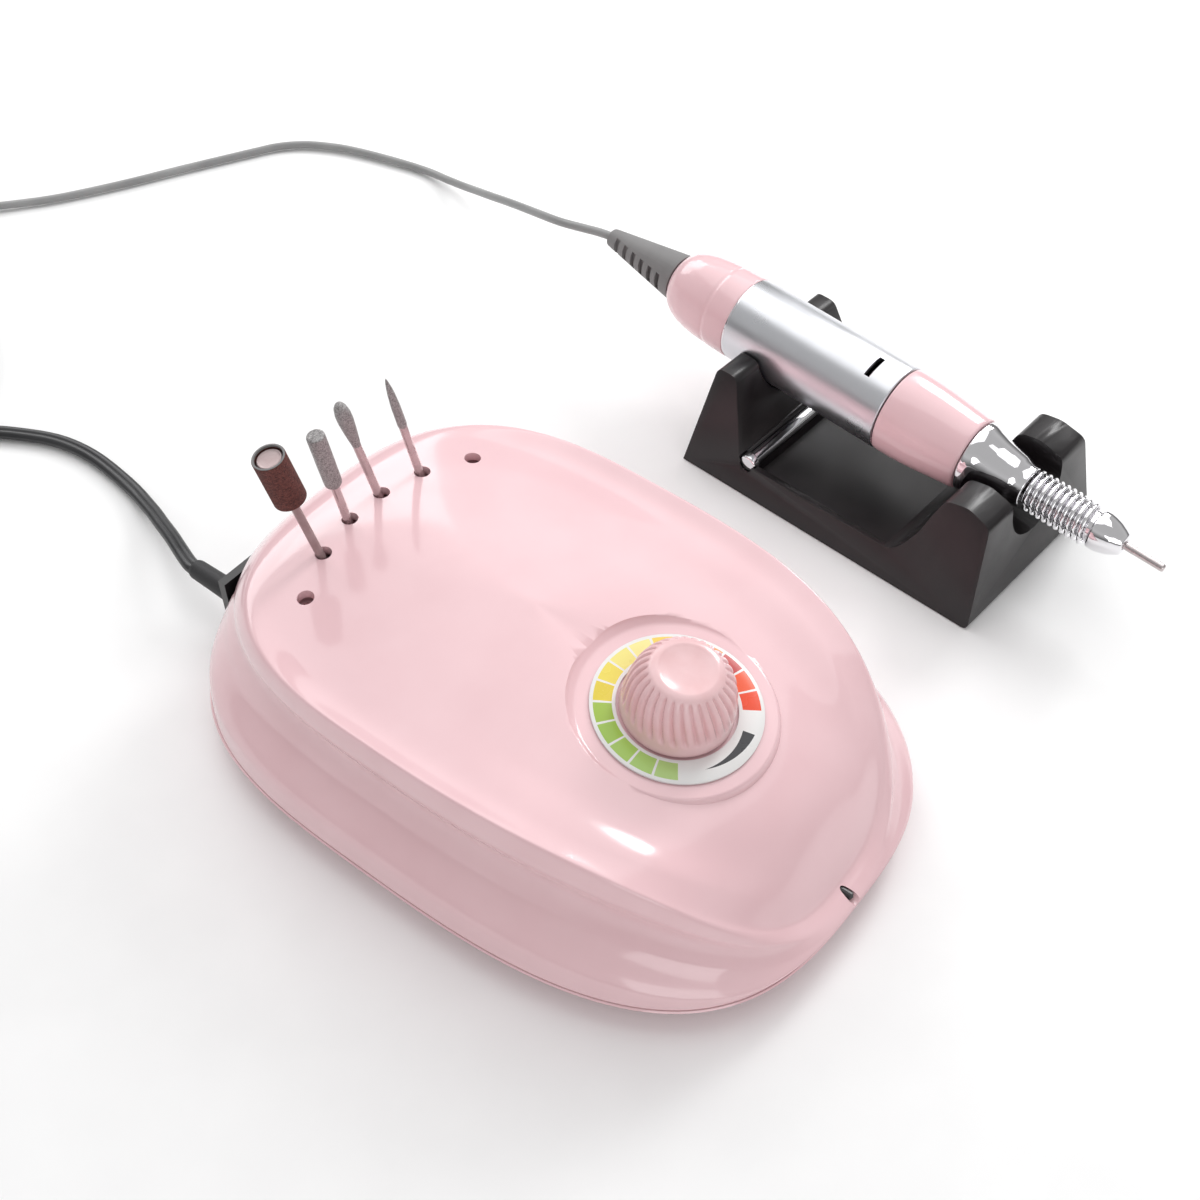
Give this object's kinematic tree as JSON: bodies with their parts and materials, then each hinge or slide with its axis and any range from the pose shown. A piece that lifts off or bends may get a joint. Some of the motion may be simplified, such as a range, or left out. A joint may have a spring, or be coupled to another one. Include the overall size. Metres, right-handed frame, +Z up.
{
  "type": "electric nail drill",
  "caption": "Electric nail drill with a glossy pink control unit, speed dial, bits in a rack, a handpiece resting on a black cradle, and cords.",
  "frame": {"origin": "bottom centre of the box round the unit and the cradle, without the cords, on the table", "axes": "+X from the control unit towards the cradle, +Y from the dial end towards the rear panel, +Z up"},
  "size_m": [0.2438, 0.452, 0.0883],
  "materials": {
    "pink_gloss": "gloss",
    "black_plastic": "matte",
    "red_plastic": "gloss",
    "cradle_black": "satin",
    "label_print": "satin",
    "black_rubber": "matte",
    "grey_rubber": "matte",
    "satin_aluminium": "satin",
    "chrome": "polished",
    "steel": "satin",
    "abrasive_band": "rough",
    "coated_grit": "rough",
    "iron": "satin",
    "copper": "satin",
    "board": "satin"
  },
  "bodies": {
    "unit": {"base_tray": "pink_gloss", "top_cover": "pink_gloss", "rear_panel": "black_plastic", "label_ring": "label_print", "potentiometer": "satin_aluminium", "potentiometer_nut": "steel", "indicator_lamp": "black_plastic", "circuit_board": "board", "heat_sink": "satin_aluminium", "transformer_core": "iron", "transformer_winding": "copper", "rubber_foot_1": "black_rubber", "rubber_foot_2": "black_rubber", "rubber_foot_3": "black_rubber", "rubber_foot_4": "black_rubber", "case_screw_1": "steel", "case_screw_2": "steel", "case_screw_3": "steel", "case_screw_4": "steel", "bit_rack": "pink_gloss", "power_switch": "black_plastic", "direction_switch": "black_plastic", "fuse_holder": "black_plastic", "handpiece_socket": "steel", "mains_relief": "black_rubber", "cradle_body": "cradle_black", "cradle_bar": "chrome", "mains_cord": "black_rubber", "mains_coil": "black_rubber", "mains_tie": "black_rubber", "mains_plug": "black_plastic", "handpiece_cord": "grey_rubber", "handpiece_coil": "grey_rubber", "handpiece_tie": "black_rubber", "handpiece_connector": "steel"},
    "dial": {"speed_knob": "pink_gloss", "potentiometer_shaft": "steel"},
    "power_key": {"power_rocker": "red_plastic"},
    "direction_key": {"direction_rocker": "black_plastic"},
    "fuse_carrier": {"fuse_cap": "black_plastic"},
    "drum": {"drum_mandrel": "steel", "sanding_band": "abrasive_band"},
    "cylinder": {"cylinder_bit": "coated_grit"},
    "flame": {"flame_bit": "coated_grit"},
    "needle": {"needle_bit": "coated_grit"},
    "handpiece": {"handpiece_relief": "grey_rubber", "rear_cap": "pink_gloss", "body_sleeve": "satin_aluminium", "motor": "iron", "rear_bearing": "steel", "front_bearing": "steel", "nose_cone": "chrome", "nose_spring": "chrome", "nose_tip": "chrome"},
    "chuck_collar": {"twist_collar": "pink_gloss"},
    "rotor": {"spindle": "steel", "chuck_sleeve": "steel"},
    "pin": {"test_pin": "steel"}
  },
  "joints": [
    {"name": "speed_turn", "type": "hinge", "parent": "unit", "child": "dial", "pos_m": [-0.05407, -0.04098, 0.043], "axis": [0, 0.1392, -0.9903], "range_deg": [0, 290]},
    {"name": "power_rock", "type": "hinge", "parent": "unit", "child": "power_key", "pos_m": [-0.04007, 0.08742, 0.0203], "axis": [1, 0, 0], "range_deg": [0, 18]},
    {"name": "direction_rock", "type": "hinge", "parent": "unit", "child": "direction_key", "pos_m": [-0.05407, 0.08742, 0.0203], "axis": [1, 0, 0], "range_deg": [0, 18]},
    {"name": "fuse_pull", "type": "slide", "parent": "unit", "child": "fuse_carrier", "axis": [0, 1, 0], "range_m": [0, 0.015]},
    {"name": "drum_lift", "type": "slide", "parent": "unit", "child": "drum", "axis": [-0.1899, 0.0926, 0.9774], "range_m": [0, 0.03]},
    {"name": "cylinder_lift", "type": "slide", "parent": "unit", "child": "cylinder", "axis": [-0.1322, 0.0645, 0.9891], "range_m": [0, 0.03]},
    {"name": "flame_lift", "type": "slide", "parent": "unit", "child": "flame", "axis": [-0.1786, 0.0871, 0.9801], "range_m": [0, 0.03]},
    {"name": "needle_lift", "type": "slide", "parent": "unit", "child": "needle", "axis": [-0.1555, 0.0758, 0.9849], "range_m": [0, 0.03]},
    {"name": "handpiece_lift", "type": "slide", "parent": "unit", "child": "handpiece", "axis": [0, 0, 1], "range_m": [0, 0.06]},
    {"name": "collar_twist", "type": "hinge", "parent": "handpiece", "child": "chuck_collar", "pos_m": [0.0838, -0.03492, 0.03104], "axis": [-0.0714, -0.9962, -0.0506], "range_deg": [0, 90]},
    {"name": "rotor_spin", "type": "hinge", "parent": "handpiece", "child": "rotor", "pos_m": [0.08366, -0.03691, 0.03094], "axis": [-0.0714, -0.9962, -0.0506], "continuous": true},
    {"name": "pin_pull", "type": "slide", "parent": "rotor", "child": "pin", "axis": [-0.0714, -0.9962, -0.0506], "range_m": [0, 0.03]}
  ]
}
